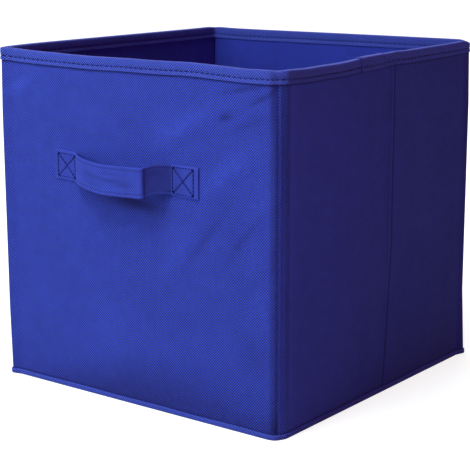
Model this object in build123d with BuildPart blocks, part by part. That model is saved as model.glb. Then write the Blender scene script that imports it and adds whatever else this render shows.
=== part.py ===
"""Collapsible fabric storage bin: cloth over boards, with two folding side walls.

Millimetres, +Z up. The origin is the middle of the base, on the surface the bin stands on.
The wall with the handle faces -Y. The left and right walls fold inward at their creases.
"""

import os

from build123d import *

os.makedirs("parts", exist_ok=True)

# Overall size, over the rim
width = 280.0
depth = 280.0
height = 280.0

# Wall layers, from the outside in
outer_cloth = 0.6
board = 2.0
lining_cloth = 0.5
board_headroom = 3.5
board_setback = 7.0

# Tape folded over the rim, and the lap where its two ends meet
rim_tape = 0.6
rim_height = 10.0
rim_round = 0.9
lap_length = 34.0
lap_from_crease = 1.0

# Folding corners and creases
fold_clearance = 0.3
crease_gap = 0.6
crease_clearance = 0.9
crease_round = 1.2

# Base cloth and the tape bound round its seam
base_cloth = 0.8
base_tape = 1.8
base_tape_height = 5.2
base_tape_round = 0.8

# Stiff insert that lies on the base cloth
insert_board = 2.0
insert_cloth = 0.5
insert_clearance = 1.2
insert_corner = 4.0

# Handle strap, sewn flat at both ends and slack between them. The slopes are the loop's, outward
# from the wall (negative) or back to it, where it leaves its left end, on both sides of its fold
# and where it meets its right end.
strap_width = 25.0
strap_thickness = 1.4
strap_middle_height = 189.0
strap_left_root = -60.5
strap_right_root = 40.0
strap_left_end = 22.0
strap_right_end = 26.5
strap_end_corner = 0.6
strap_reach = 16.5
strap_fold = 20.0
strap_shoulder = 20.0
shoulder_reach = 10.8
strap_root_slope = -0.8
strap_fold_slope_before = -0.08
strap_fold_slope_after = 0.95
strap_end_slope = 0.55

# Worked out from the sizes above
wall = outer_cloth + board + lining_cloth
rim_wall = wall + 2 * rim_tape
cloth_width = width - 2 * rim_tape
cloth_depth = depth - 2 * rim_tape
corner_round = 0.9 * wall
insert_thickness = insert_board + 2 * insert_cloth
seam_top = base_cloth + insert_thickness
wall_foot = seam_top + fold_clearance
wall_top = height - rim_tape
side_end = depth / 2 - rim_wall - fold_clearance
crease_end = crease_gap / 2
front_face = -cloth_depth / 2
strap_foot = strap_middle_height - strap_width / 2


def save(piece, node):
    """Label a finished piece and write it under its node's name."""
    piece.part.label = node
    export_step(piece.part, f"parts/{node}.step")


def plan(start, end, near, far, start_round, end_round):
    """Plan of a layer on its wall's plane: X along the wall, Y inward from the cloth's face.

    The two corners on the outer side are rounded where their radius is above 0.
    """
    with BuildSketch(mode=Mode.PRIVATE) as layer:
        with Locations(((start + end) / 2, (near + far) / 2)):
            Rectangle(end - start, far - near)
        for place, radius in ((0, start_round), (-1, end_round)):
            if radius > 0:
                outer_corners = layer.vertices().group_by(Axis.Y)[0].sort_by(Axis.X)
                fillet(outer_corners[place], radius)
    return layer.sketch


def make_wall(name, face, start, end, start_round, end_round, rim_wraps, corners):
    """Outer cloth, board, lining and rim tape of one stiff length of wall.

    face is the plane at floor level on the outer cloth's face, with its Y pointing inward.
    The outer cloth turns round both ends of the board. rim_wraps closes the rim tape's ends.
    corners says which of the start and the end are at a corner of the bin. The board stops
    short of a corner, so that only cloth bends there, and fills the pocket at a crease.
    """
    foot = face.offset(wall_foot)
    cloth_plan = plan(start, end, 0, wall, start_round, end_round)
    pocket_plan = plan(
        start + outer_cloth,
        end - outer_cloth,
        outer_cloth,
        wall,
        start_round - outer_cloth,
        end_round - outer_cloth,
    )
    layer_middle = (start + end) / 2
    layer_length = end - start
    board_start = start + outer_cloth + board_setback * corners[0]
    board_end = end - outer_cloth - board_setback * corners[1]

    with BuildPart() as outer:
        with BuildSketch(foot):
            add(cloth_plan)
            add(pocket_plan, mode=Mode.SUBTRACT)
        extrude(amount=wall_top - wall_foot)
    save(outer, f"{name}_outer_cloth")

    with BuildPart() as stiffener:
        with BuildSketch(foot):
            add(pocket_plan)
            with Locations(((board_start + board_end) / 2, outer_cloth + board / 2)):
                Rectangle(board_end - board_start, board, mode=Mode.INTERSECT)
        extrude(amount=wall_top - board_headroom - wall_foot)
    save(stiffener, f"{name}_board")

    with BuildPart() as lining:
        with BuildSketch(foot):
            add(pocket_plan)
            with Locations((layer_middle, wall - lining_cloth / 2)):
                Rectangle(layer_length, lining_cloth, mode=Mode.INTERSECT)
        extrude(amount=wall_top - wall_foot)
    save(lining, f"{name}_lining")

    wrap = rim_tape if rim_wraps else 0
    with BuildPart() as rim:
        with BuildSketch(face.offset(height - rim_height)):
            add(plan(
                start - wrap,
                end + wrap,
                -rim_tape,
                wall + rim_tape,
                start_round + wrap,
                end_round + wrap,
            ))
        extrude(amount=rim_height)
        fold_edges = rim.faces().sort_by(Axis.Z)[-1].edges().sort_by(SortBy.LENGTH)[-2:]
        fillet(fold_edges, rim_round)
        with BuildSketch(face.offset(height - rim_height)):
            add(cloth_plan)
        extrude(amount=rim_height - rim_tape, mode=Mode.SUBTRACT)
    save(rim, f"{name}_rim_tape")


# Planes on the outer cloth's four faces, each with X along the wall and Y inward
front_plane = Plane(origin=(0, front_face, 0), x_dir=(1, 0, 0), z_dir=(0, 0, 1))
back_plane = Plane(origin=(0, -front_face, 0), x_dir=(-1, 0, 0), z_dir=(0, 0, 1))
right_plane = Plane(origin=(cloth_width / 2, 0, 0), x_dir=(0, 1, 0), z_dir=(0, 0, 1))
left_plane = Plane(origin=(-cloth_width / 2, 0, 0), x_dir=(0, -1, 0), z_dir=(0, 0, 1))

# Front and back walls run corner to corner
for name, face in (("front", front_plane), ("back", back_plane)):
    make_wall(
        name, face, -cloth_width / 2, cloth_width / 2, corner_round, corner_round, True, (True, True)
    )

# Each side wall is two halves that meet at the crease and fold in between the front and back
for side, face, before, after in (
    ("right", right_plane, "front", "rear"),
    ("left", left_plane, "rear", "front"),
):
    start_half = f"{side}_{before}"
    end_half = f"{side}_{after}"
    make_wall(start_half, face, -side_end, -crease_end, 0, crease_round, False, (True, False))
    make_wall(end_half, face, crease_end, side_end, crease_round, 0, False, (False, True))

# Lap of the rim tape, one more turn of tape over the right wall's rim just before its crease
lap_end = -crease_end - lap_from_crease
with BuildPart() as lap:
    with BuildSketch(right_plane.offset(height - rim_height)):
        add(plan(lap_end - lap_length, lap_end, -2 * rim_tape, wall + 2 * rim_tape, 0, 0))
    extrude(amount=rim_height + rim_tape)
    fillet(lap.faces().sort_by(Axis.Z)[-1].edges().filter_by(Axis.Y), rim_round + rim_tape)
    with BuildSketch(right_plane.offset(height - rim_height)):
        add(plan(lap_end - lap_length, lap_end, -rim_tape, wall + rim_tape, 0, 0))
    extrude(amount=rim_height, mode=Mode.SUBTRACT)
save(lap, "rim_tape_lap")

# Base cloth, with its corners rounded like the walls'
with BuildPart() as base:
    with BuildSketch():
        RectangleRounded(cloth_width, cloth_depth, corner_round)
    extrude(amount=base_cloth)
save(base, "base_cloth")


def make_seam(side, outward, along, reach_out, reach_along):
    """One side's length of the base seam: tape outside the walls and turned-in cloth under them.

    Neighbouring lengths meet on a slanting plane through the centre of their rounded corner.
    """
    with BuildPart() as seam:
        with BuildSketch():
            RectangleRounded(
                cloth_width + 2 * base_tape,
                cloth_depth + 2 * base_tape,
                corner_round + base_tape,
            )
            RectangleRounded(cloth_width, cloth_depth, corner_round, mode=Mode.SUBTRACT)
        extrude(amount=base_tape_height)
        levels = seam.faces().filter_by(Axis.Z).sort_by(Axis.Z)
        rolled_edges = levels[0].outer_wire().edges() + levels[-1].outer_wire().edges()
        fillet(rolled_edges, base_tape_round)
        with BuildSketch(Plane.XY.offset(base_cloth)):
            RectangleRounded(cloth_width, cloth_depth, corner_round)
            Rectangle(cloth_width - 2 * wall, cloth_depth - 2 * wall, mode=Mode.SUBTRACT)
        extrude(amount=seam_top - base_cloth)
        for end in (-1, 1):
            corner = outward * (reach_out - corner_round) + along * end * (reach_along - corner_round)
            split(bisect_by=Plane(origin=corner, z_dir=outward - along * end), keep=Keep.TOP)
    save(seam, f"base_tape_{side}")


for side, outward, along, reach_out, reach_along in (
    ("front", Vector(0, -1, 0), Vector(1, 0, 0), cloth_depth / 2, cloth_width / 2),
    ("back", Vector(0, 1, 0), Vector(1, 0, 0), cloth_depth / 2, cloth_width / 2),
    ("left", Vector(-1, 0, 0), Vector(0, 1, 0), cloth_width / 2, cloth_depth / 2),
    ("right", Vector(1, 0, 0), Vector(0, 1, 0), cloth_width / 2, cloth_depth / 2),
):
    make_seam(side, outward, along, reach_out, reach_along)

# Insert: a board in a cloth cover that turns round its edges, closed underneath by a lining
insert_width = width - 2 * rim_wall - 2 * insert_clearance
insert_depth = depth - 2 * rim_wall - 2 * insert_clearance
sheet_width = insert_width - 2 * insert_cloth
sheet_depth = insert_depth - 2 * insert_cloth
sheet_corner = insert_corner - insert_cloth

with BuildPart() as cover:
    with BuildSketch(Plane.XY.offset(base_cloth)):
        RectangleRounded(insert_width, insert_depth, insert_corner)
    extrude(amount=insert_thickness)
    with BuildSketch(Plane.XY.offset(base_cloth)):
        RectangleRounded(sheet_width, sheet_depth, sheet_corner)
    extrude(amount=insert_thickness - insert_cloth, mode=Mode.SUBTRACT)
save(cover, "insert_cover")

with BuildPart() as insert_lining:
    with BuildSketch(Plane.XY.offset(base_cloth)):
        RectangleRounded(sheet_width, sheet_depth, sheet_corner)
    extrude(amount=insert_cloth)
save(insert_lining, "insert_lining")

with BuildPart() as stiff_base:
    with BuildSketch(Plane.XY.offset(base_cloth + insert_cloth)):
        RectangleRounded(sheet_width, sheet_depth, sheet_corner)
    extrude(amount=insert_board)
save(stiff_base, "insert_board")

# Handle: a strap sewn flat at both ends, with a slack loop creased near its right end
strap_plane = Plane(origin=(0, front_face, strap_foot), x_dir=(1, 0, 0), z_dir=(0, 0, 1))

for side, inner, outer in (
    ("left", strap_left_root, strap_left_root - strap_left_end),
    ("right", strap_right_root, strap_right_root + strap_right_end),
):
    with BuildPart() as strap_end:
        with BuildSketch(strap_plane):
            with Locations(((inner + outer) / 2, -strap_thickness / 2)):
                Rectangle(abs(outer - inner), strap_thickness)
        extrude(amount=strap_width)
        outer_face = strap_end.faces().sort_by(Axis.X)[0 if outer < inner else -1]
        worn_edges = outer_face.edges().sort_by(Axis.Y)[0]
        fillet(worn_edges, strap_end_corner)
    save(strap_end, f"handle_{side}_end")


def loop_plan(layer):
    """Area between the wall and the slack loop's face, which lies a layer out from its inner face."""
    lift = fold_clearance + layer
    start = (strap_left_root + fold_clearance, -lift)
    shoulder = (strap_left_root + strap_shoulder, -shoulder_reach - layer)
    crease = (strap_fold, strap_thickness - strap_reach - layer)
    end = (strap_right_root - fold_clearance, -lift)
    with BuildSketch(mode=Mode.PRIVATE) as area:
        with BuildLine():
            Spline(
                start, shoulder, crease,
                tangents=((1, strap_root_slope), (1, strap_fold_slope_before)),
            )
            Spline(crease, end, tangents=((1, strap_fold_slope_after), (1, strap_end_slope)))
            Polyline(end, (end[0], 0), (start[0], 0), start)
        make_face()
    return area.sketch


with BuildPart() as strap:
    with BuildSketch(strap_plane):
        add(loop_plan(strap_thickness))
        add(loop_plan(0), mode=Mode.SUBTRACT)
        with Locations(((strap_left_root + strap_right_root) / 2, -fold_clearance / 2)):
            Rectangle(strap_right_root - strap_left_root, fold_clearance, mode=Mode.SUBTRACT)
    extrude(amount=strap_width)
save(strap, "handle_strap")

# Hinge lines, all vertical. A corner folds about the rim's inner face and a crease about its outer
# face, so the two halves of a side wall close flat against each other and against both end walls.
corner_hinge = (width / 2 - rim_wall - fold_clearance, side_end)
crease_hinge = (width / 2 + crease_clearance, 0)
handle_hinge = (front_face, strap_foot + strap_width)
print("corner hinges at X and Y of plus and minus", corner_hinge)
print("crease hinges at X of plus and minus", crease_hinge[0], "and Y", crease_hinge[1])
print("handle hinge along X at Y and Z", handle_hinge)
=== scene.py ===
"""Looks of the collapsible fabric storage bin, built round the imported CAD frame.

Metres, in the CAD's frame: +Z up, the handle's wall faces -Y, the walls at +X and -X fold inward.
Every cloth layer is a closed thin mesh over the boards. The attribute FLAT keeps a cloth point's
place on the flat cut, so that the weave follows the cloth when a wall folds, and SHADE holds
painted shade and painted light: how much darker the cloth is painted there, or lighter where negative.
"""

import math

import bpy
import numpy as np
from mathutils import Matrix, Vector


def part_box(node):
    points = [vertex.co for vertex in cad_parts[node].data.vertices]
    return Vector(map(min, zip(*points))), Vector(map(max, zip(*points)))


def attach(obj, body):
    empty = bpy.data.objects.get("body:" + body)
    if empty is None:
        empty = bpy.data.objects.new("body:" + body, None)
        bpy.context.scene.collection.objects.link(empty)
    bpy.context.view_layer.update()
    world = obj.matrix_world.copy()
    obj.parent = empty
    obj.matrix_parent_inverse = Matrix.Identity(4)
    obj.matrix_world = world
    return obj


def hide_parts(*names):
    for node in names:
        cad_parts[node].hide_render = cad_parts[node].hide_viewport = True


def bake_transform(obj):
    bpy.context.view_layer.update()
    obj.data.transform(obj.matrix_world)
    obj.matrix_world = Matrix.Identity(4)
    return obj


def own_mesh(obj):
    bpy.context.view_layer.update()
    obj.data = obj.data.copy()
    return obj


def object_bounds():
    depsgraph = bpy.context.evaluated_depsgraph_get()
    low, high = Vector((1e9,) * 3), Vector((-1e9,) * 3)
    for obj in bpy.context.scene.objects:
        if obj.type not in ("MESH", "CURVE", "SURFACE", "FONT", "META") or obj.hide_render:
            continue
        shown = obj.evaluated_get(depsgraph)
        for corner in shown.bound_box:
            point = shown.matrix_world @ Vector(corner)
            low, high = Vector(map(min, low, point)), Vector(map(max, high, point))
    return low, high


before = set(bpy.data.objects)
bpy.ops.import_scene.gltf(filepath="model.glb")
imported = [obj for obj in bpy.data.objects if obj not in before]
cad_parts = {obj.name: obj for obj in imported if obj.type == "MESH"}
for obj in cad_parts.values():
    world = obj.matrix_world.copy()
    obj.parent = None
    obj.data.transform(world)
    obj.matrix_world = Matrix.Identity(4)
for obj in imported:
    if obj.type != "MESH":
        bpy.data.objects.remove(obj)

cad_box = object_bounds()

MM = 0.001
FLAT = "flat_cloth"
# Attribute of the painted shade and painted light on the cloth
SHADE = "painted_light_and_shade"

# Planes of the CAD layers, as distances from the middle of the bin
wall_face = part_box("right_front_outer_cloth")[1][0]
lining_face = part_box("right_front_lining")[0][0]
rim_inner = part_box("right_front_rim_tape")[0][0]
rim_foot, rim_top = (end[2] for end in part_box("front_rim_tape"))
wall_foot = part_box("front_outer_cloth")[0][2]
base_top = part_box("base_cloth")[1][2]
board_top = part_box("insert_board")[1][2]
(_, _, insert_foot), (insert_half, _, insert_top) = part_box("insert_cover")

# The real cloth stands off the boards, on a rounded square
ease = 0.7 * MM
cloth_thick = 0.6 * MM
lining_thick = 0.5 * MM
corner_radius = 3.5 * MM
tightest_radius = 1.0 * MM
face = wall_face + ease
straight = face - corner_radius
quarter = corner_radius * math.pi / 2
side_length = 2 * straight + quarter

# The front's and the back's cloth goes round each corner as far as the seam
seam_angle = math.radians(72)
arc_end = straight + corner_radius * seam_angle

# From the middle of a wall: where a side wall's cloth and lengths of tape end at its corner pieces,
# where the front's and the back's lengths of tape do, and where the left wall's halves start
corner_end = 127.0 * MM
hem_start = 132.0 * MM
crease_gap = 0.15 * MM

# How far the cloth of each upright corner lies inside the square, along X and Y, in mm: at the
# foot, on the wall and at the rim. The near corner is the softest. The last figure is how far the
# top of the rim is rounded off there.
corner_draw = {
    (1, -1): (1.4, 1.7, 1.4, 0.8),
    (-1, -1): (-2.2, -2.8, -2.2, 0.5),
    (1, 1): (-3.0, -0.9, 0.0, 2.4),
    (-1, 1): (0.0, 0.0, 0.5, 0.8),
}
# The near corner's draw leans from Y toward X, and its rim is much rounder than the others
near_lean = 0.6
soft_radius = 11.5 * MM
# Heights between which the wall's shape turns into the rim's, in mm
turn_to_rim = (225, 272)

# How far the rim is off level, in mm: where both X and Y are high, toward +X, toward +Y and all over
rim_twist, rim_east, rim_north, rim_level = 1.07, 0.33, -0.43, -1.18
# Waves of the rim on the wall toward each side: place along it, half width and height, in mm
rim_waves = {
    (1, 0): ((-104, 18, -1.0), (-65, 26, -1.3), (16, 16, 0.9), (62, 30, 0.2)),
    (0, -1): ((-95, 70, -1.25), (-40, 34, -0.75), (14, 18, -0.3), (58, 20, 0.65), (108, 16, -0.5)),
    (-1, 0): ((0, math.inf, 1.2),),
    (0, 1): ((40, 250, 0.7),),
}


# ---------- cloth meshes

def bell(distance, width):
    """1 where distance is 0, with a soft shoulder on each side about as wide as width."""
    return np.exp(-(distance / width) ** 2)


def ramp(value, start, end):
    """0 at start and before it, then evenly up to 1 at end. It may run downward, from high to low."""
    return np.clip((value - start) / (end - start), 0, 1)


def smooth(share):
    """A share from 0 to 1 with a soft start and a soft end."""
    return share * share * (3 - 2 * share)


def add_object(name, data):
    """A new object in the scene."""
    made = bpy.data.objects.new(name, data)
    bpy.context.scene.collection.objects.link(made)
    return made


def smooth_mesh(name, points, faces, flat):
    """A smooth mesh that keeps each point's place on the flat cut."""
    mesh = bpy.data.meshes.new(name)
    mesh.from_pydata(points.tolist(), [], faces)
    mesh.validate()
    mesh.polygons.foreach_set("use_smooth", [True] * len(mesh.polygons))
    mesh.attributes.new(FLAT, "FLOAT_VECTOR", "POINT").data.foreach_set("vector", flat.ravel())
    return mesh


def shell(name, outer, inner, flat, shade=None, stands=True):
    """Closed thin mesh between two grids of points, outer and inner, each (rows, columns, 3).

    It stands as the bin stands, unless it is a flat piece of its own.
    """
    rows, columns = outer.shape[:2]
    points = np.concatenate([outer.reshape(-1, 3), inner.reshape(-1, 3)])
    index = np.arange(rows * columns).reshape(rows, columns)
    below = index + rows * columns

    def quads(a, b, c, d):
        return np.stack([a, b, c, d], -1).reshape(-1, 4)

    faces = [
        quads(index[:-1, :-1], index[1:, :-1], index[1:, 1:], index[:-1, 1:]),
        quads(below[:-1, :-1], below[:-1, 1:], below[1:, 1:], below[1:, :-1]),
        quads(index[:-1, 0], below[:-1, 0], below[1:, 0], index[1:, 0]),
        quads(index[1:, -1], below[1:, -1], below[:-1, -1], index[:-1, -1]),
        quads(index[0, 1:], below[0, 1:], below[0, :-1], index[0, :-1]),
        quads(index[-1, :-1], below[-1, :-1], below[-1, 1:], index[-1, 1:]),
    ]
    points = warp(points) if stands else points
    places = np.concatenate([flat.reshape(-1, 3)] * 2)
    mesh = smooth_mesh(name, points, np.concatenate(faces).tolist(), places)
    mesh.set_sharp_from_angle(angle=math.radians(52))
    dark = np.zeros(rows * columns) if shade is None else shade.ravel()
    mesh.attributes.new(SHADE, "FLOAT", "POINT").data.foreach_set("value", np.tile(dark, 2))
    return add_object(name, mesh)


def wave(along, humps):
    """Sum of soft humps, each (place, half width, height) in mm."""
    return sum(h * MM * bell(along / MM - at, width) for at, width, h in humps)


def rim_rise(x, y, z):
    """How far each point is off level. It is most at the rim, which is twisted and waves."""
    east, north = x / wall_face, y / wall_face
    rise = (rim_twist * east * north + rim_east * east + rim_north * north + rim_level) * MM
    for (way_x, way_y), humps in rim_waves.items():
        on_wall = np.clip(way_x * east + way_y * north, 0, 1) ** 8
        rise = rise + on_wall * wave(y if way_x else x, humps)
    return rise * np.clip(z / rim_top, 0, 1) ** 2


def warp(points):
    """The bin as it stands: slightly twisted, with a rim that waves and corners of their own."""
    x, y, z = points.T
    rise = rim_rise(x, y, z)
    round_x, round_y = np.abs(x) - straight, np.abs(y) - straight
    depth = np.clip(np.hypot(np.maximum(round_x, 0), np.maximum(round_y, 0)) / (2.5 * MM), 0, 1)
    depth = np.maximum(depth, ramp(z, rim_foot - 6 * MM, rim_foot))
    top = ramp(z, rim_foot, rim_top) ** 2
    apex = corner_radius * math.sqrt(0.5)
    off = np.hypot(round_x - apex, round_y - apex) / MM
    reach = np.interp(z / MM, turn_to_rim, (9.0, 10.5))
    in_x, in_y = 0 * x, 0 * x
    for (way_x, way_y), (foot, wall, rim, droop) in corner_draw.items():
        here = (np.sign(x) == way_x) & (np.sign(y) == way_y)
        draw = np.interp(z / MM, (0, 60, *turn_to_rim), (foot, wall, wall, rim))
        drawn = np.where(here, draw * MM * depth * np.clip(1 - (off / reach) ** 2, 0, 1) ** 2, 0)
        lean = near_lean * (way_x > 0 > way_y)
        in_x, in_y = in_x + way_x * (1 + lean) * drawn, in_y + way_y * (1 - lean) * drawn
        rise = rise - np.where(here, droop * MM * top * bell(off, 5.0), 0)
    soft = np.interp(z / MM, turn_to_rim, (0.25, 1.0)) * ((x > 0) & (y < 0))
    soft_x, soft_y = softened(x, -y, soft)
    return np.stack([x - in_x - soft_x, y - in_y + soft_y, z + rise], 1)


def softened(x, y, share):
    """How far points near the corner at +X and +Y move in, along X and Y, to round it off."""
    centre = face - soft_radius
    local_x, local_y = np.maximum(x - centre, 0), np.maximum(y - centre, 0)
    distance = np.maximum(np.hypot(local_x, local_y), tightest_radius)
    swing = np.arctan2(local_y, local_x)
    flat = soft_radius / np.maximum(np.maximum(np.cos(swing), np.sin(swing)), 0.5)
    reach = math.sqrt(2) * (soft_radius - corner_radius)
    skew = reach * np.sin(swing - math.pi / 4)
    arc = reach * np.cos(swing - math.pi / 4) + np.sqrt(np.maximum(corner_radius ** 2 - skew ** 2, 0))
    first = math.atan2(soft_radius - corner_radius, soft_radius)
    on_arc = (swing > first) & (swing < math.pi / 2 - first)
    inward = share * (np.where(on_arc, arc, flat) - soft_radius)
    inward = np.where((local_x > 0) & (local_y > 0), np.maximum(inward, 0), 0)
    return inward * local_x / distance, inward * local_y / distance


def turned(local_x, local_y, z, turn):
    """Points given as seen on the front wall, turned to another wall."""
    c, k = np.round(np.cos(turn * math.pi / 2)), np.round(np.sin(turn * math.pi / 2))
    return np.stack([local_x * c - local_y * k, local_x * k + local_y * c, z + 0 * local_x], -1)


def outline(s, lift, z):
    """Points and outward directions at arc length s round the rounded square, lifted off it, at z.

    s is 0 at the middle of the front and grows to the right, the back and then the left.
    Inside the walls the corner stays round, and there the points close up towards it.
    """
    turn = np.round(s / side_length)
    along = s - turn * side_length
    radius = np.maximum(corner_radius + lift, tightest_radius)
    flat_end = face + lift - radius
    path_end = flat_end + radius * math.pi / 4
    beyond = np.maximum(np.abs(along) - corner_end, 0) / (side_length / 2 - corner_end)
    place = np.minimum(np.abs(along), corner_end) + beyond * (path_end - corner_end)
    swing = np.sign(along) * np.maximum(place - flat_end, 0) / radius
    local_x = np.sign(along) * np.minimum(place, flat_end) + radius * np.sin(swing)
    local_y = -flat_end - radius * np.cos(swing)
    return turned(local_x, local_y, z, turn), turned(np.sin(swing), -np.cos(swing), 0, turn)


def spaced(start, end, step, dense=(), dense_step=None, reach=0.0):
    """Values from start to end about a step apart, and closer near each place in dense."""
    values = [start]
    while values[-1] < end - 1e-9:
        near = any(abs(values[-1] - d) < reach for d in dense)
        values.append(min(values[-1] + (dense_step if near else step), end))
    if len(values) > 2 and values[-1] - values[-2] < 0.3 * (dense_step or step):
        values.pop(-2)
    return np.array(values)


def dress(piece, material):
    """Gives a piece its material."""
    piece.data.materials.append(material)


# ---------- folds in the cloth

def ridges(u, v, folds):
    """Height of the folds at (u, v) in mm: each fold is a soft ridge or furrow along a line."""
    total = np.zeros(np.broadcast(u, v).shape)
    for (u0, v0), (u1, v1), width, height in folds:
        du, dv = u1 - u0, v1 - v0
        length = math.hypot(du, dv)
        along = ((u - u0) * du + (v - v0) * dv) / length
        off = ((u - u0) * dv - (v - v0) * du) / length
        fade = ramp(along, 0, 0.5 * length) * ramp(along, length, 0.5 * length)
        total += height * bell(off, width) * smooth(fade)
    return total


def ripples(u, v, seed, amount):
    """Gentle unevenness of cloth laid on a board, the same at each run."""
    draw = np.random.default_rng(seed)
    total = 0
    for length in (150, 95, 62, 44, 30, 21):
        angle, phase = draw.uniform(0, math.pi), draw.uniform(0, 2 * math.pi)
        path = u * math.cos(angle) + v * math.sin(angle)
        total = total + (length / 150) ** 1.1 * np.sin(2 * math.pi * path / length + phase)
    return amount * total


def pillow(u, v, half, low, high):
    """How freely cloth stands off its board: 0 where its edges hold it, and 1 between them."""
    across = np.clip(1 - np.abs(u / half) ** 16, 0, 1)
    return across * np.clip(1 - np.abs(2 * ramp(v, low, high) - 1) ** 8, 0, 1)


# ---------- materials

class Tree:
    """Short names for building the nodes of a material or of the world."""

    def __init__(self, owner):
        owner.use_nodes = True
        self.owner = owner
        self.nodes = owner.node_tree.nodes
        self.links = owner.node_tree.links
        self.shader = self.nodes.get("Principled BSDF")

    def put(self, socket, value):
        if isinstance(value, bpy.types.NodeSocket):
            self.links.new(value, socket)
        else:
            socket.default_value = value

    def node(self, kind, *inputs, **settings):
        made = self.nodes.new(kind)
        for key, value in settings.items():
            setattr(made, key, value)
        for key, value in inputs:
            self.put(made.inputs[key], value)
        return made

    def math(self, operation, a, b=0.0, c=0.0):
        return self.node("ShaderNodeMath", (0, a), (1, b), (2, c), operation=operation).outputs[0]

    def dot(self, vector, direction):
        made = self.node("ShaderNodeVectorMath", (0, vector), (1, direction), operation="DOT_PRODUCT")
        return made.outputs["Value"]

    def noise(self, vector, scale, detail=3.0):
        made = self.node("ShaderNodeTexNoise", ("Vector", vector), ("Scale", scale), ("Detail", detail))
        return made.outputs["Fac"]

    def attribute(self, name):
        return self.node("ShaderNodeAttribute", attribute_name=name)

    def mix(self, factor, a, b):
        made = self.nodes.new("ShaderNodeMix")
        made.data_type = "RGBA"
        self.put(made.inputs[0], factor)
        self.put(made.inputs[6], a)
        self.put(made.inputs[7], b)
        return made.outputs[2]

    def surface(self, colour, roughness, height, strength, depth, *others):
        """Sets the shader's colour, roughness, bumps of a height, and other sockets. Gives the material."""
        bump = self.node("ShaderNodeBump", ("Strength", strength), ("Distance", depth), ("Height", height))
        sockets = (("Base Color", colour), ("Roughness", roughness), ("Normal", bump.outputs["Normal"]))
        for name, value in sockets + others:
            self.put(self.shader.inputs[name], value)
        return self.owner


# Embossed lines of the non-woven cloth: cycles per mm along and up the cloth, and their weights
embossed_lines = (((0.487, -0.439), 0.70), ((0.335, 0.430), 0.30))


def embossed_cloth(name, colour, relief=1.0, contrast=1.0, deeper=()):
    """Non-woven cloth: fibres pressed flat in a lattice of slanting lines, with faint blotches.

    deeper holds (start, end, low, high): the lattice's strength before and after a stretch in mm.
    """
    t = Tree(bpy.data.materials.new(name))
    flat = t.attribute(FLAT).outputs["Vector"]
    drift = t.noise(flat, 60.0, 2.0)
    lines = []
    for cycles, weight in embossed_lines:
        across = tuple(2 * math.pi * c / MM for c in cycles) + (0,)
        wander = t.math("MULTIPLY_ADD", drift, 5.0, t.dot(flat, across))
        lines.append(t.math("MULTIPLY", t.math("SINE", wander), weight))
    pressed = t.math("MULTIPLY_ADD", t.noise(flat, 210.0), 2.6, -0.3)
    lattice = t.math("MULTIPLY", t.math("ADD", *lines), pressed)
    fibres = t.math("SUBTRACT", t.noise(flat, 1100.0), 0.5)
    cloudy = t.math("MULTIPLY_ADD", t.noise(flat, 14.0), 1.3, 0.2)
    along = t.node("ShaderNodeSeparateXYZ", (0, flat)).outputs[0]
    for start, end, low, high in deeper:
        cloudy = t.math("MULTIPLY", cloudy, t.node(
            "ShaderNodeMapRange", ("Value", along), ("From Min", start * MM), ("From Max", end * MM),
            ("To Min", low), ("To Max", high), interpolation_type="SMOOTHSTEP",
        ).outputs[0])
    height = t.math("ADD", lattice, t.math("MULTIPLY", fibres, 1.2))
    tone = t.math("MULTIPLY_ADD", t.math("MULTIPLY", height, cloudy), contrast, 1.0)
    for scale, strength in ((24.0, 0.22), (85.0, 0.30)):
        blotches = t.math("SUBTRACT", t.noise(flat, scale), 0.5)
        tone = t.math("MULTIPLY_ADD", blotches, strength, tone)
    # Painted shade and painted light darken or lighten the tone. The dark end has a little extra red, so
    # painted shade turns purplish
    seam = t.attribute(SHADE).outputs["Fac"]
    tone = t.math("MULTIPLY", tone, t.math("MULTIPLY_ADD", seam, -0.6, 1.0))
    dark = (0.2 * colour[0] + 0.006, 0.2 * colour[1], 0.2 * colour[2], 1)
    light = tuple(c * 1.8 for c in colour) + (1,)
    shown = t.math("MULTIPLY_ADD", tone, 0.625, -0.125)
    roughness = t.math("MULTIPLY_ADD", fibres, 0.2, 0.72)
    return t.surface(
        t.mix(shown, dark, light), roughness, height, 0.8 * relief, 0.14 * MM,
        ("Specular IOR Level", 0.04), ("Sheen Weight", 0.06), ("Sheen Roughness", 0.5),
        ("Sheen Tint", (0.45, 0.42, 1.0, 1)),
    )


def cardboard(name):
    """Grey-brown board with fibres and flecks."""
    t = Tree(bpy.data.materials.new(name))
    place = t.node("ShaderNodeTexCoord").outputs["Object"]
    fleck = t.noise(place, 900.0, 4.0)
    cloud = t.noise(place, 40.0, 2.0)
    tone = t.math("ADD", t.math("MULTIPLY", fleck, 0.6), t.math("MULTIPLY", cloud, 0.4))
    colour = t.mix(tone, (0.30, 0.26, 0.21, 1), (0.52, 0.47, 0.39, 1))
    return t.surface(colour, t.math("MULTIPLY_ADD", fleck, 0.15, 0.8), fleck, 0.3, 0.1 * MM)


def thread_material(name, colour):
    """Two-ply sewing thread: fine slanting plies and a soft shine."""
    t = Tree(bpy.data.materials.new(name))
    flat = t.attribute(FLAT).outputs["Vector"]
    ply = t.math("SINE", t.dot(flat, (9000.0, 9000.0, 9000.0)))
    tone = t.math("MULTIPLY_ADD", ply, 0.25, 0.5)
    dark = tuple(c * 0.6 for c in colour) + (1,)
    return t.surface(
        t.mix(tone, dark, colour + (1,)), t.math("MULTIPLY_ADD", ply, 0.05, 0.6), ply, 0.3, 0.05 * MM,
        ("Specular IOR Level", 0.04),
    )


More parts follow.
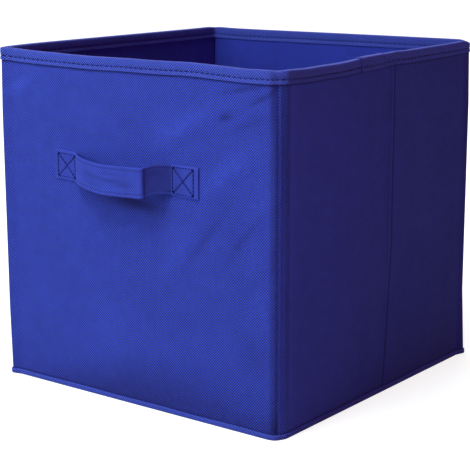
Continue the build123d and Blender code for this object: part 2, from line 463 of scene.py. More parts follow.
# The front's lattice is pressed deeper toward the right, and the right wall's hardly at all. The
# strap's is faint beyond its fold
front_depth = ((-110, 110, 0.55, 1.75), (142, 150, 1.0, 0.35))
outer_blue = embossed_cloth("outer_cloth", (0.036, 0.054, 0.37), deeper=front_depth)
lining_blue = embossed_cloth("lining_cloth", (0.024, 0.037, 0.31), contrast=0.5)
tape_blue = embossed_cloth("tape_cloth", (0.050, 0.072, 0.41), contrast=1.5)
strap_depth = ((102, 106, 1, 0.15),)
strap_blue = embossed_cloth("strap_cloth", (0.042, 0.062, 0.41), 0.3, contrast=0.7, deeper=strap_depth)
thread_blue = thread_material("thread", (0.006, 0.009, 0.10))
tack_blue = thread_material("tack_thread", (0.09, 0.10, 0.42))
board_grey = cardboard("board")


# ---------- wall skins

# Heights of the skins' rows of points, and the painted shadow lines under the rim's hem and over the base
# tape
z_wall = spaced(1.0 * MM, rim_top - 1.2 * MM, 2.5 * MM, (0, rim_foot), 0.8 * MM, 8 * MM)
under_hem = 0.9 * bell(z_wall - rim_foot + 0.6 * MM, 0.9 * MM)
over_foot = 0.8 * bell(z_wall - 4.8 * MM, 0.9 * MM)
# How far the side walls' cloth stands off where it is held, in mm
side_lift = 0.35


def skin(name, s, lift, shade):
    """Outer cloth at arc lengths s, with its stand-off in mm. It has painted shadow along its hems too."""
    hems = under_hem + over_foot
    along, height = s[:, None] + 0 * lift, z_wall + 0 * lift
    outer, outward = outline(along, lift * MM, height)
    flat = np.stack([along, height, 0 * lift], -1)
    made = shell(name, outer, outer - cloth_thick * outward, flat, hems + shade * (1 - hems) + 0 * lift)
    dress(made, outer_blue)
    return made


def wall_skin(wall, turn, seed, folds, tones=(), painted_foot_shade=0.0):
    """Outer cloth of the front or back wall, wrapped round both corners as far as their seams.

    tones are streaks of painted light and painted shade, and the last argument is how strong the painted
    shade toward the foot is.
    """
    s = spaced(-arc_end, arc_end, 2.5 * MM, (-arc_end, arc_end), 0.6 * MM, 12 * MM)
    u, v = s[:, None] / MM, z_wall / MM
    hold = pillow(u, v, 136, 5, 269)
    lift = 0.5 * hold + hold * (ripples(u, v, seed, 0.2) + ridges(u, v, folds))
    # Each seam lies in a band of painted shade, where the cloth turns round the corner from the light,
    # wider and darker at the right end
    from_seam = np.abs(np.abs(u) - arc_end / MM)
    seam = bell(from_seam, 0.9)
    beside = np.where(u > 0, 0.58 * np.exp(-(from_seam / 7.4) ** 4), 0.38 * bell(from_seam, 3.4))
    # Painted shade toward the foot, stronger toward the right, with the streaks of painted light and shade
    strength = painted_foot_shade * (0.35 + 0.65 * ramp(u, -130, -30))
    foot = ramp(v, 32 + 20 * bell(u - 30, 70), 0)
    streaks = ridges(u, v, tones) + strength * smooth(foot)
    shade = 0.45 * seam + beside * (1 - seam) + streaks
    made = skin(f"{wall}_skin", s + turn * side_length, lift - 0.35 * seam, shade)
    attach(made, f"{wall}_wall")
    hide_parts(f"{wall}_outer_cloth")


def side_skin(name, turn, start, end, seed, crease):
    """Outer cloth of a side wall between two places along it, as seen from outside.

    crease gives what it adds to the cloth's stand-off, in mm, and its painted shade.
    """
    s = spaced(start, end, 2.5 * MM, (start, end, 0, 10 * MM, 16 * MM), 0.6 * MM, 8 * MM)
    u, v = s[:, None] / MM, z_wall / MM
    hold = pillow(u, v, 127, 5, 269) * np.clip(np.abs(u) / 12, 0, 1) ** 2
    furrow, shade = crease(u, v)
    lift = side_lift + 0.4 * hold + hold * ripples(u, v, seed, 0.18) + furrow
    return skin(name, s + turn * side_length, lift, shade)


def right_crease(u, v):
    """A furrow that turns toward the front at its foot, with a ridge before it that fades downward.

    The shade is painted: painted light toward the wall's front, painted shade toward its back and its foot
    and in the furrow.
    """
    off = u - 4.5 - 10.5 * ramp(v, 0, 120) ** 0.7
    ridge = (0.15 + 0.25 * ramp(v, 120, 270)) * bell(off + 3.4, 2.4)
    furrow = bell(off, 1.1)
    # Painted light near the front corner, and painted shade toward the back and the foot
    lit = 0.10 + 0.14 * ramp(-u, 10, 90) + 0.12 * ramp(-u, 112, 120) + 0.20 * ramp(-u, 121, 125)
    dim = 0.55 * ramp(u, -110, 110) + 0.28 * ramp(v, 150, 0)
    return ridge - 0.5 * furrow, 0.55 * furrow - lit * (1 - furrow) + dim


def left_crease(u, v):
    """The left wall's cloth turns in where its two halves meet."""
    level = 0 * u * v
    return level - 1.3 * ramp(np.abs(u) - crease_gap / MM, 1.4, 0) ** 2, level


def left_halves(end):
    """Names of the left wall's halves, and where each starts and ends along the wall."""
    return ("left_front", crease_gap, end), ("left_rear", -end, -crease_gap)


# Folds of the front: where each starts and ends, its half width and its height, all in mm
front_folds = (
    ((-146, 238), (-96, 261), 6.0, 1.3),
    ((10, 209), (98, 255), 9.0, 1.4),
    ((58, 173), (134, 230), 8.0, 1.6),
    ((22, 97), (73, 171), 10.0, 0.9),
    ((76, 257), (142, 273), 2.8, -1.3),
    ((80, 265), (142, 279), 3.2, 0.8),
    ((104, 248), (142, 269), 2.6, -1.3),
    ((100, 242), (142, 262), 3.4, 1.0),
    ((82, 240), (100, 244), 3.4, -1.7),
    ((40, 112), (106, 190), 7.0, -0.8),
    ((84, 128), (132, 188), 6.0, -0.7),
    ((-80, 40), (150, 44), 18.0, 1.8),
)
# Streaks of painted light and painted shade on the front, among them the strap's painted shadow: where each
# starts and ends, its half width and how dark it is
front_tones = (
    ((-150, 236), (-96, 261), 6.0, -0.35),
    ((4, 206), (104, 257), 7.0, -0.50),
    ((52, 170), (140, 232), 7.5, -0.80),
    ((16, 92), (78, 174), 8.0, -0.35),
    ((96, 150), (142, 200), 5.0, -0.45),
    ((72, 257), (146, 273), 2.4, 0.70),
    ((104, 248), (146, 270), 2.2, 0.85),
    ((80, 239), (102, 245), 2.8, 1.1),
    ((84, 228), (140, 250), 3.0, 0.45),
    ((44, 112), (106, 190), 4.0, 0.50),
    ((84, 122), (134, 186), 4.0, 0.55),
    ((100, 100), (142, 146), 5.0, 0.40),
    ((112, 40), (124, 86), 11.0, 0.30),
    ((-70, 172), (44, 158), 9.0, 0.40),
    ((-44, 172), (50, 163), 4.8, 0.90),
    ((118, 178), (126, 52), 10.0, -0.30),
    ((-60, 84), (0, 40), 26.0, -0.25),
)
wall_skin("front", 0, 3, front_folds, front_tones, 0.75)
wall_skin("back", 2, 8, (((-100, 60), (20, 200), 14.0, 0.4),))
right_skin = side_skin("right_skin", 1, -corner_end, corner_end, 11, right_crease)
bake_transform(right_skin)
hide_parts("right_rear_outer_cloth", "right_front_outer_cloth")
for name, start, end in left_halves(corner_end):
    made = side_skin(f"{name}_skin", -1, start, end, 17, left_crease)
    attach(made, f"{name}_half")
    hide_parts(f"{name}_outer_cloth")

# Each corner: its end wall, the half wall beyond it, the end wall's turn and the way round it
corners = (
    ("front_right", "front_wall", "right_front_half", 0, 1),
    ("front_left", "front_wall", "left_front_half", 0, -1),
    ("back_right", "back_wall", "right_rear_half", 2, -1),
    ("back_left", "back_wall", "left_rear_half", 2, 1),
)


def across_corner(piece):
    """Bakes a corner piece's placing into its mesh."""
    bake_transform(piece)


def corner_s(turn, way, start):
    """Arc lengths round one corner, from start on the end wall to the side wall's cloth."""
    s = spaced(start, side_length - corner_end, 1.0 * MM, (side_length / 2,), 0.5 * MM, 6 * MM)
    return turn * side_length + (s if way > 0 else -s[::-1])


# How dark the corners' seams are, and the painted shade of the right wall's cloth round its far corner
corner_dark = 0.55


def corner_shade(name, from_seam):
    """Painted shade of a corner's cloth off its seam: a strip at the near corner, turned from the light,
    that fades downward, and at the far end of the right wall as dark as the wall's painted shade."""
    if name == "front_right":
        strip = ramp(from_seam, 1.2, 2.7) * ramp(from_seam, 8.6, 5.6)
        return strip * np.interp(z_wall / MM, (20, 150, 250), (0.08, 0.24, 0.52))
    return corner_dark if name == "back_right" else 0.0


for name, end_wall, half, turn, way in corners:
    s = corner_s(turn, way, arc_end)
    from_seam = (np.abs(s - turn * side_length) - arc_end)[:, None] / MM + 0 * z_wall
    lift = side_lift + 0.28 * bell(from_seam - 1.8, 1.0)
    dim = corner_shade(name, from_seam)
    made = skin(f"{name}_corner_cloth", s, lift, dim + (corner_dark - dim) * bell(from_seam, 0.8))
    across_corner(made)


# ---------- rim, lap and base tape

tape_thick = 0.6 * MM
rim_out = 0.85 * MM
rim_in = rim_inner - face
stitch_pitch = 5.0 * MM
half_stitch = 1.75 * MM
tape_step = 1.25 * MM
stitch_z = rim_foot + 3.3 * MM
top_round = 1.1 * MM


def u_profile(out, inn, top, foot, radius):
    """Distances out and heights along a tape folded over the rim, from its outer to its inner edge."""
    turn = np.linspace(0, math.pi / 2, 5)
    hem_z = np.linspace(foot, foot + 6 * MM, 13)
    outer_z = np.concatenate([hem_z, np.linspace(hem_z[-1], top - radius, 4)[1:-1]])
    arc_out, arc_up = radius * np.cos(turn), radius * np.sin(turn)
    flat_top = np.linspace(out - radius, inn + radius, 4)[1:-1]
    outs = (out + 0 * outer_z, out - radius + arc_out, flat_top, inn + radius - arc_up, inn + 0 * outer_z)
    zs = (outer_z, top - radius + arc_up, top + 0 * flat_top, top - radius + arc_out, outer_z[::-1])
    return np.concatenate(outs), np.concatenate(zs)


def tape(name, s, outs, zs, t_outs, t_zs, shade=None):
    """Tape swept along the outline: its face's and its back's distances out and heights at each s."""
    along, outs, zs, t_outs, t_zs = np.broadcast_arrays(s[:, None], outs, zs, t_outs, t_zs)
    outer, inner = (outline(along, out, z)[0] for out, z in ((outs, zs), (t_outs, t_zs)))
    laid = warp(outer.reshape(-1, 3)).reshape(outer.shape)
    steps = np.hypot(np.diff(outs, axis=1), np.diff(zs, axis=1)).mean(0)
    across = np.concatenate([[0], np.cumsum(steps)])
    made = shell(name, outer, inner, np.stack([along, across + 0 * zs, 0 * zs], -1), shade)
    dress(made, tape_blue)
    return made


def rim_piece(name, s, out=rim_out, inn=rim_in, top=rim_top, foot=rim_foot, cut_ends=()):
    """A length of tape over the rim, pulled in where its stitches run, with painted shade along them, and
    dark at its cut ends.
    """
    outs, zs = u_profile(out, inn, top, foot, top_round)
    t_outs, t_zs = u_profile(
        out - tape_thick, inn + tape_thick, top - tape_thick, foot, top_round - 0.5 * tape_thick,
    )
    phase = np.cos(2 * math.pi * s / stitch_pitch)[:, None]
    pull = bell(zs - stitch_z, 0.8 * MM) * (0.65 + 0.35 * phase)
    inward = np.where(outs > (out + inn) / 2, -1, 1)
    below = ramp(zs, stitch_z, stitch_z - 3 * MM)
    loose = MM * below * (0.34 + 0.12 * np.sin(s / (9 * MM))[:, None])
    crown = 0.16 * MM * np.sin(math.pi * ramp(zs, stitch_z, stitch_z + 6 * MM))
    shift = inward * (0.40 * MM * pull - loose - crown)
    # Painted shade along the stitches' pull and over the tape's inner side, and a painted highlight along
    # its top edge
    top_edge = -0.1 * ramp(zs, top - 1.5 * MM, top - 0.5 * MM)
    shade = np.maximum(0.8 * pull, np.where(inward > 0, 0.42, top_edge))
    for end in cut_ends:
        shade = np.maximum(shade, 0.8 * bell(s - end, 0.7 * MM)[:, None])
    return tape(name, s, outs + shift, zs, t_outs + shift, t_zs, shade)


def base_piece(name, s):
    """A length of tape bound round the base seam: under the wall, round its foot and up."""
    outs = np.array([-3.0, -1.5, 0.0, 0.7, 1.15, 1.35, 1.4, 1.4, 1.35, 1.1, 0.75, 0.45]) * MM
    zs = np.array([0.0, 0.0, 0.0, 0.05, 0.3, 0.8, 1.5, 2.6, 3.4, 3.9, 4.15, 4.2]) * MM
    t_outs = np.array([-3.0, -1.5, 0.0, 0.4, 0.65, 0.8, 0.85, 0.85, 0.8, 0.65, 0.5, 0.4]) * MM
    t_zs = np.array([0.6, 0.6, 0.6, 0.6, 0.8, 1.1, 1.6, 2.6, 3.1, 3.35, 3.5, 3.55]) * MM
    sway = 1 + 0.05 * np.sin(s / (13 * MM))[:, None]
    return tape(name, s, outs, sway * zs, t_outs, sway * t_zs)


for kind, build in (("rim_tape", rim_piece), ("base_tape", base_piece)):
    for name, turn in (("front", 0), ("back", 2)):
        made = build(f"{name}_{kind}_cloth", spaced(-hem_start, hem_start, tape_step) + turn * side_length)
        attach(made, f"{name}_wall")
        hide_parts(f"{name}_rim_tape" if build is rim_piece else f"base_tape_{name}")
    made = build(f"right_{kind}_cloth", spaced(-corner_end, corner_end, tape_step) + side_length)
    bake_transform(made)
    rim_tapes = ("right_rear_rim_tape", "right_front_rim_tape")
    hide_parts(*(rim_tapes if build is rim_piece else ("base_tape_right",)))
    for name, start, end in left_halves(corner_end):
        made = build(f"{name}_{kind}_cloth", spaced(start, end, tape_step) - side_length)
        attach(made, f"{name}_half")
        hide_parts(f"{name}_rim_tape" if build is rim_piece else "base_tape_left")
    for name, end_wall, half, turn, way in corners:
        made = build(f"{name}_corner_{kind}", corner_s(turn, way, hem_start))
        across_corner(made)

lap_ends = [side_length + end[1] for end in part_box("rim_tape_lap")]
lap_out = rim_out + 1.3 * tape_thick
lap = rim_piece(
    "rim_lap_cloth", spaced(*lap_ends, tape_step, lap_ends, 0.5 * MM, 3 * MM),
    lap_out, rim_in - tape_thick, rim_top + 0.75 * MM, rim_foot - 0.3 * MM, lap_ends,
)
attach(lap, "right_front_half")
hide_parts("rim_tape_lap")


# ---------- linings

z_lining = spaced(wall_foot, rim_top - 1.5 * MM, 4.0 * MM, (0,), 2.0 * MM, 6 * MM)


def lining(name, turn, start, end, seed, crease=0.0):
    """Lining on the inside of a wall, from start to end along it as seen from outside.

    crease is how far it stands proud along the wall's middle, in mm.
    """
    t = spaced(start, end, 4.0 * MM, (start, end, 0), 0.8 * MM, 8 * MM)
    u, v = t[:, None] / MM, z_lining / MM
    hold = pillow(u, v, 134, 6, 268) * np.clip(np.abs(u) / 8, 0.2, 1)
    proud = hold * (0.35 + ripples(u, v, seed, 0.16))
    depth = lining_face - (proud + crease * bell(u, 1.4)) * MM
    along, height = t[:, None] + 0 * depth, z_lining + 0 * depth
    outer, inner = (turned(along, -out, height, turn) for out in (depth + lining_thick, depth))
    made = shell(name, outer, inner, np.stack([along, height, 0 * depth], -1))
    dress(made, lining_blue)
    return made


lining_end = 136.0 * MM
for name, turn, seed in (("front", 0, 21), ("back", 2, 22)):
    made = lining(f"{name}_lining_cloth", turn, -lining_end, lining_end, seed)
    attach(made, f"{name}_wall")
    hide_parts(f"{name}_lining")
made = lining("right_lining_cloth", 1, -lining_end, lining_end, 23, crease=0.4)
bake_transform(made)
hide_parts("right_rear_lining", "right_front_lining")
for name, start, end in left_halves(lining_end):
    made = lining(f"{name}_lining_cloth", -1, start, end, 24)
    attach(made, f"{name}_half")
    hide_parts(f"{name}_lining")


# ---------- base cloth and insert

def plate(name, half, radius, profile, material, stands=False):
    """A rounded square of cloth: profile gives (distance in from its edge, top height, bottom height)."""
    insets, tops, bottoms = zip(*profile)
    place = spaced(0.0, half, 3.6 * MM, (half,), 0.35 * MM, 5 * MM) / half
    place = np.concatenate([-place[:0:-1], place])
    a, b = np.meshgrid(place, place, indexing="ij")
    ring = np.maximum(np.abs(a), np.abs(b))
    corner = np.minimum(np.abs(a), np.abs(b)) / np.where(ring > 0, ring, 1)
    cut = radius / half
    reach = half * (1 - 0.7 * (math.sqrt(2) - 1) * cut * ramp(corner, 1 - cut, 1) ** 2)
    x, y = a * reach, b * reach
    top, low = (np.interp((1 - ring) * half, insets, heights) for heights in (tops, bottoms))
    flat = np.stack([x, y, 0 * x], -1)
    made = shell(name, np.stack([x, y, top], -1), np.stack([x, y, low], -1), flat, stands=stands)
    dress(made, material)
    return made


base = plate(
    "base_cloth_sheet", wall_face - 0.6 * MM, 6 * MM,
    ((0, base_top, 0.1 * MM),), outer_blue, stands=True,
)
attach(base, "back_wall")
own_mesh(base)
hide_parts("base_cloth")

cover = plate(
    "insert_cover_cloth", insert_half, 3.6 * MM,
    ((0, insert_top - 0.3 * MM, insert_foot), (0.3 * MM, insert_top, board_top + 0.02 * MM)),
    outer_blue,
)
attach(cover, "insert")
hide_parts("insert_cover")
under = plate(
    "insert_lining_cloth", insert_half - 0.1 * MM, 3.6 * MM,
    ((0, insert_foot + 0.45 * MM, insert_foot),), lining_blue,
)
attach(under, "insert")
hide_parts("insert_lining")

for name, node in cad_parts.items():
    if name.endswith("_board"):
        node.data.materials.clear()
        node.data.materials.append(board_grey)


# ---------- handle

strap_low, strap_high = (end[2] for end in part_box("handle_strap"))
strap_middle = (strap_low + strap_high) / 2
half_width = (strap_high - strap_low) / 2 / MM
# The loop seen from above: X, and how far the strap's inner face stands off the wall, in mm
strap_line = (
    (-82.5, 0.0), (-76.0, 0.0), (-66.0, 0.0), (-60.8, 0.15), (-57.2, 1.6), (-52.5, 5.0), (-45.6, 8.8),
    (-38.1, 11.5), (-29.9, 13.3), (-21.6, 14.2), (-13.3, 14.5), (-5.0, 14.4), (3.4, 14.2), (11.7, 14.4),
    (19.0, 15.3), (22.0, 15.7), (22.8, 15.3), (22.7, 14.2), (23.3, 13.0), (26.0, 10.4), (30.4, 6.8),
    (35.0, 3.3), (38.8, 0.8), (41.2, 0.1), (48.0, 0.0), (56.0, 0.0), (66.5, 0.0),
)
# Along the strap: X, how far its middle line stands above level, in mm, and its width as a share
strap_levels = (
    (-82.5, 1.0, 0.99), (-70.0, 0.8, 0.98), (-60.0, 0.2, 0.97), (-52.0, -0.3, 0.965), (-40.0, -1.3, 0.96),
    (-20.0, -3.1, 0.975), (0.0, -2.9, 0.975), (14.0, -2.2, 0.97), (22.0, -1.6, 0.97), (25.0, -0.2, 0.95),
    (29.0, 1.1, 0.945), (40.0, 0.9, 0.96), (50.0, 0.4, 0.99), (66.5, 0.2, 1.0),
)


def smooth_line(points, step):
    """Points about a step apart on a Catmull-Rom curve through the given ones."""
    p = np.array(points, float)
    p = np.concatenate([[2 * p[0] - p[1]], p, [2 * p[-1] - p[-2]]])
    made = []
    for a, b, c, d in zip(p[:-3], p[1:-2], p[2:-1], p[3:]):
        count = max(2, int(round(np.linalg.norm(c - b) / step)))
        t = np.linspace(0, 1, count, endpoint=False)[:, None]
        squares, cubes = 2 * a - 5 * b + 4 * c - d, 3 * b - a - 3 * c + d
        made.append(0.5 * (2 * b + (c - a) * t + squares * t ** 2 + cubes * t ** 3))
    return np.concatenate(made + [p[-2:-1]])


strap_path = smooth_line(strap_line, 0.9)
level_x, level_rise, level_width = smooth_line(strap_levels, 1.0).T
strap_steps = np.concatenate([[0], np.cumsum(np.hypot(*np.diff(strap_path, axis=0).T))])
strap_slope = np.gradient(strap_path, strap_steps, axis=0)
strap_normal = np.stack([-strap_slope[:, 1], strap_slope[:, 0]], 1)
strap_wall = face + 0.55 * MM
strap_thick = 1.3


def on_strap(step, across, out):
    """Points on the strap: step of its path, distance across in mm and out from its inner face in mm."""
    x, y = strap_path[step, 0], strap_path[step, 1]
    nx, ny = strap_normal[step, 0], strap_normal[step, 1]
    rise, wide = np.interp(x, level_x, level_rise), np.interp(x, level_x, level_width)
    z = strap_middle / MM + across * wide + rise
    return np.stack([(x + nx * out) * MM, -strap_wall - (y + ny * out) * MM, z * MM], -1)


# Sewing: the rows along the strap's edges, and the crossed boxes as left end, right end, half height
edge_row = 9.6
boxes = ((-78.8, -59.6, 9.7), (41.4, 61.6, 10.5))
# Creases of the loop: where each starts and ends, its half width and its height, all in mm
strap_creases = (
    ((-52, 1), (6, -2), 2.2, -0.75), ((-44, -4), (-8, -5), 2.0, 0.35), ((-30, 5), (12, 3), 1.8, -0.45),
    ((-12, -6), (18, -3), 1.6, -0.4), ((26, 6), (38, -2), 2.4, -0.4),
)


def sewn_lines(x, a):
    """How near a point of the strap is to a line of its sewing, from 0 to 1; a is its distance across."""
    near = bell(np.abs(a) - edge_row, 0.55) * 0.55 * ((x > -60) & (x < 41))
    for left, right, half in boxes:
        inside = (x > left - 1) & (x < right + 1) & (np.abs(a) < half + 0.8)
        slope = 2 * half / (right - left)
        tilt = math.hypot(1, slope)
        rise = (x - (left + right) / 2) * slope
        apart = np.minimum.reduce([
            np.abs(x - left), np.abs(x - right), np.abs(a - rise) / tilt, np.abs(a + rise) / tilt,
        ])
        near = np.maximum(near, inside * bell(apart, 0.75))
    return near


def strap_faces(x, a, sewn):
    """How far the strap's outer and inner faces stand out from its line, in mm."""
    puff = 0.28 * np.cos(a / half_width * math.pi / 2) ** 0.5
    edge_round = 0.5 * ramp(np.abs(a), half_width - 0.8, half_width) ** 2
    free = ramp(x, -60, -52) * ramp(x, 40, 32)
    cup = free * (0.7 * (np.abs(a) / half_width) ** 2 + ridges(x, a, strap_creases))
    return strap_thick + puff - 0.34 * sewn - edge_round + cup, edge_round * 0.8 + cup - 0.1 * free


def strap_shade(x, a, sewn):
    """How dark the strap is painted: painted shade along its crumpled middle, behind its fold and in its
    stitch lines, a painted highlight along its edges, and darker on its sewn ends.
    """
    # Painted shade along the crumpled middle of the loop
    crumpled_shade = bell(a + 1.5 + 0.8 * np.sin(x / 5), 4.2 + 1.2 * np.sin(x / 9))
    crumpled_shade = crumpled_shade * ramp(x, -52, -36) * ramp(x, 20, 6)
    behind = ramp(x, 22, 24) * ramp(x, 42, 39)
    bright_edge = -0.22 * ramp(np.abs(a), 10.4, 11.2)
    sewn_ends = 0.14 * ramp(x, -58, -60) + ramp(x, 42, 44) * (0.10 + 0.38 * ramp(x, 56, 42))
    return np.maximum(0.95 * sewn, 0.34 * crumpled_shade + 0.72 * behind + sewn_ends + bright_edge)


strap_edge = np.array([9.0, 9.6, 10.2, 10.8, 11.4, 11.9, 12.3, half_width])
across = np.concatenate([-strap_edge[::-1], np.linspace(-8, 8, 17), strap_edge])
step, place = np.meshgrid(np.arange(len(strap_path)), across, indexing="ij")
x_at = strap_path[step, 0]
sewn_in = sewn_lines(x_at, place)
top_out, low_out = strap_faces(x_at, place, sewn_in)
strap = shell(
    "handle_strap_cloth", on_strap(step, place, top_out), on_strap(step, place, low_out),
    np.stack([strap_steps[step] * MM, place * MM, 0 * place], -1), strap_shade(x_at, place, sewn_in),
)
dress(strap, strap_blue)
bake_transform(strap)
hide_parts("handle_left_end", "handle_right_end", "handle_strap")


# ---------- stitches

# Along a stitch: the share of its length, then its thickness and its rise out of the cloth, in radii
stations = (
    (0.0, 0.15, -0.484), (0.12, 0.75, -0.044), (0.5, 1.0, 0.22), (0.88, 0.75, -0.044), (1.0, 0.15, -0.484),
)
sides = 6


def stitch_mesh(name, runs, material=thread_blue):
    """One mesh of stitches. Each run holds (start, end, outward direction) of each, and their radius."""
    ring = np.linspace(0, 2 * math.pi, sides + 1)[:-1]
    last = sides * (len(stations) - 1)
    points, faces, flats = [], [], []
    for stitches, radius in runs:
        for p, q, n in stitches:
            along = (q - p) / np.linalg.norm(q - p)
            side = np.cross(along, n)
            first = len(points)
            for share, size, rise in stations:
                middle = p + (q - p) * share + n * rise * radius
                for angle in ring:
                    out = side * math.cos(angle) + 0.75 * n * math.sin(angle)
                    points.append(middle + radius * size * out)
                    flats.append((share * 0.003, angle * 0.0003, 0))
            for row in range(first, first + last, sides):
                for i in range(sides):
                    a, b = row + i, row + (i + 1) % sides
                    faces.append((a, b, b + sides, a + sides))
            faces.append(tuple(first + i for i in reversed(range(sides))))
            faces.append(tuple(first + last + i for i in range(sides)))
    made = add_object(name, smooth_mesh(name, warp(np.array(points)), faces, np.array(flats)))
    dress(made, material)
    return made


def rim_run(start, end, outer):
    """Stitches along the rim between arc lengths, on its outer or its inner side."""
    first = math.ceil(start / stitch_pitch + 0.35)
    last = math.floor(end / stitch_pitch - 0.35)
    middles = np.arange(first, last + 1) * stitch_pitch
    out = rim_out - 0.12 * MM if outer else rim_in + 0.12 * MM
    starts, _ = outline(middles - half_stitch, out, stitch_z)
    ends, outward = outline(middles + half_stitch, out, stitch_z)
    return zip(starts, ends, outward * (1 if outer else -1)), 0.30 * MM


for name, start, end, turn in (
    ("front_wall", -hem_start, hem_start, 0), ("back_wall", -hem_start, hem_start, 2),
    ("right_front_half", -corner_end, -2 * MM, 1), ("right_rear_half", 2 * MM, corner_end, 1),
    ("left_front_half", 2 * MM, corner_end, -1), ("left_rear_half", -corner_end, -2 * MM, -1),
):
    ends = start + turn * side_length, end + turn * side_length
    thread = stitch_mesh(f"{name}_rim_thread", [rim_run(*ends, outer) for outer in (True, False)])
    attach(thread, name)
for name, end_wall, half, turn, way in corners:
    s = corner_s(turn, way, hem_start)
    thread = stitch_mesh(f"{name}_corner_rim_thread", [rim_run(s[0], s[-1], True)])
    across_corner(thread)

# The lap is tacked down at its front end by upright stitches, and a cut thread end stands out there
tack_out = lap_out + 0.1 * MM
tack = []
for count in range(9):
    at = lap_ends[0] + (1.5 + 1.9 * count) * MM
    low, normal = outline(at, tack_out, rim_foot + (1.2 + 0.5 * (count % 2)) * MM)
    high, _ = outline(at + 0.4 * MM, tack_out, rim_foot + (5.6 - 0.6 * (count % 3)) * MM)
    tack.append((low, high, normal))
tail = [outline(lap_ends[0] + along * MM, out * MM, rim_top + up * MM) for along, out, up in (
    (1.0, -1.0, 0.6), (0.2, -0.4, 1.6), (-0.9, 0.3, 2.2), (-2.2, 0.9, 2.0), (-3.0, 1.4, 1.2),
)]
tail = [(start, end, normal) for (start, normal), (end, _) in zip(tail[:-1], tail[1:])]
tack_thread = stitch_mesh("lap_tack_thread", [(tack, 0.24 * MM)], tack_blue)
tail_thread = stitch_mesh("lap_thread_end", [(tail, 0.30 * MM)])
for thread in (tack_thread, tail_thread):
    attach(thread, "right_front_half")


def strap_at(x, across_mm):
    """A point on the strap's outer face and its outward direction, by its place along X in mm."""
    k = np.interp(x, strap_path[:, 0], np.arange(len(strap_path)))
    i, f = int(k), k - int(k)
    j = min(i + 1, len(strap_path) - 1)
    p = [on_strap(np.array(m), across_mm, strap_thick + 0.05) for m in (i, j)]
    n = strap_normal[i] * (1 - f) + strap_normal[j] * f
    return p[0] * (1 - f) + p[1] * f, np.array([n[0], -n[1], 0])


def strap_run(x0, c0, x1, c1, pitch, radius):
    """Stitches on the strap along a line between two places given as X and distance across, in mm."""
    count = max(1, int(round(math.hypot(x1 - x0, c1 - c0) / pitch)))
    stitches = []
    for i in range(count):
        a, b = (i + 0.12) / count, (i + 0.88) / count
        start, normal = strap_at(x0 + (x1 - x0) * a, c0 + (c1 - c0) * a)
        end, _ = strap_at(x0 + (x1 - x0) * b, c0 + (c1 - c0) * b)
        stitches.append((start, end, normal))
    return stitches, radius


box_runs = []
for x0, x1, half in boxes:
    for line in (
        (x0, -half, x1, -half), (x0, half, x1, half), (x0, -half, x0, half), (x1, -half, x1, half),
        (x0, -half, x1, half), (x0, half, x1, -half),
    ):
        box_runs.append(strap_run(*line, 2.9, 0.46 * MM))
box_thread = stitch_mesh("handle_box_thread", box_runs)
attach(box_thread, "front_wall")
edge_runs = [
    strap_run(x0, row, x1, row, 2.6, 0.26 * MM)
    for x0, x1 in ((-59.5, 21.0), (24.5, 39.5)) for row in (-edge_row, edge_row)
]
edge_thread = stitch_mesh("handle_edge_thread", edge_runs)
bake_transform(edge_thread)


# ---------- floor, light and camera

def seen_rays(t):
    """1 for a ray from the camera, a mirror or glass, and 0 for the light on matt surfaces."""
    path = t.node("ShaderNodeLightPath")
    seen = t.math("MAXIMUM", path.outputs["Is Camera Ray"], path.outputs["Is Glossy Ray"])
    return t.math("MAXIMUM", seen, path.outputs["Is Transmission Ray"])


def floor_material():
    """Pale floor, white to the camera and faintly grey in the bin's shadow beside it."""
    t = Tree(bpy.data.materials.new("floor"))
    t.nodes.remove(t.shader)
    seen = seen_rays(t)
    place = t.node("ShaderNodeTexCoord").outputs["Object"]
    far = t.node("ShaderNodeVectorMath", (0, place), operation="LENGTH").outputs["Value"]
    far = t.node("ShaderNodeMapRange", ("Value", far), ("From Min", 0.2), ("From Max", 0.6)).outputs[0]
    strength = t.math("MULTIPLY", seen, t.math("MULTIPLY_ADD", far, 0.2, 0.8))
    matt = t.node("ShaderNodeBsdfDiffuse", ("Color", (0.45, 0.45, 0.45, 1)))
    glow = t.node("ShaderNodeEmission", ("Color", (1, 1, 1, 1)), ("Strength", strength))
    both = t.node("ShaderNodeAddShader", (0, matt.outputs[0]), (1, glow.outputs[0]))
    t.links.new(both.outputs[0], t.nodes["Material Output"].inputs["Surface"])
    return t.owner


# Strength of the light from all round
ambient = 0.09


def studio_world():
    """White behind the bin, and on matt cloth a faint rosy light from all round."""
    t = Tree(bpy.data.worlds.new("studio"))
    seen = seen_rays(t)
    background = t.nodes["Background"].inputs
    t.put(background["Color"], t.mix(seen, (1.0, 0.78, 0.84, 1), (1, 1, 1, 1)))
    t.put(background["Strength"], t.math("MULTIPLY_ADD", seen, 1 - ambient, ambient))
    return t.owner


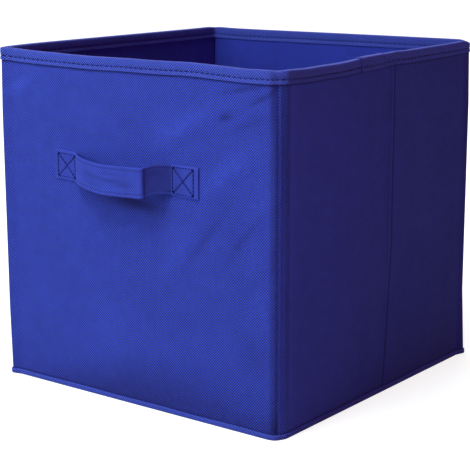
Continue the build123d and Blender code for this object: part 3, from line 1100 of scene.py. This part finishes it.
floor_mesh = bpy.data.meshes.new("floor")
reach = 14.0
floor_corners = [(x * reach, y * reach, 0) for x, y in ((-1, -1), (1, -1), (1, 1), (-1, 1))]
floor_mesh.from_pydata(floor_corners, [], [(0, 1, 2, 3)])
floor = add_object("floor", floor_mesh)
floor.location.z = cad_box[0].z - 0.05 * MM
floor.data.materials.append(floor_material())

bpy.context.scene.world = studio_world()

middle = Vector((0, 0, (cad_box[0].z + cad_box[1].z) / 2))


def toward(azimuth, elevation):
    """Direction from the middle of the bin, by angles round and above it in degrees."""
    a, e = math.radians(azimuth), math.radians(elevation)
    return Vector((math.sin(a) * math.cos(e), -math.cos(a) * math.cos(e), math.sin(e)))


def softbox(name, azimuth, elevation, distance, width, watts, colour):
    """A square lamp that looks at the middle of the bin. Its distance and its width are in metres."""
    lamp = bpy.data.lights.new(name, "AREA")
    lamp.shape, lamp.size, lamp.energy, lamp.color = "SQUARE", width, watts, colour
    made = add_object(name, lamp)
    out = toward(azimuth, elevation)
    made.location = middle + out * distance
    made.rotation_euler = (-out).to_track_quat("-Z", "Y").to_euler()


softbox("key", -16, 25, 2.2, 1.5, 29.5, (0.76, 0.99, 1.0))
softbox("top", -4, 60, 2.0, 0.55, 23.5, (0.80, 0.99, 1.0))
softbox("fill", 80, 30, 3.0, 2.0, 15.5, (1.0, 0.14, 0.24))
softbox("back", 217, 35, 2.6, 1.8, 34, (1.0, 1.0, 1.0))

# The camera as fitted to the photograph: angles in degrees, then distance and shifts in metres
azimuth, elevation, roll = 37.4224, 12.8752, -0.136
distance, shift_right, shift_up = 1.2464, -0.006024, -0.024745

camera_data = bpy.data.cameras.new("camera")
camera_data.sensor_width = 36.0
camera_data.lens = 110.787
camera_data.clip_start, camera_data.clip_end = 0.05, 60.0
camera = add_object("camera", camera_data)
bpy.context.scene.camera = camera
back = toward(azimuth, elevation)
right = toward(azimuth + 90, 0)
up = back.cross(right)
place = middle + back * distance + right * shift_right + up * shift_up
axes = Matrix((right, up, back)).transposed() @ Matrix.Rotation(math.radians(roll), 3, "Z")
camera.matrix_world = Matrix.Translation(place) @ axes.to_4x4()

bpy.context.scene.view_settings.view_transform = "Standard"
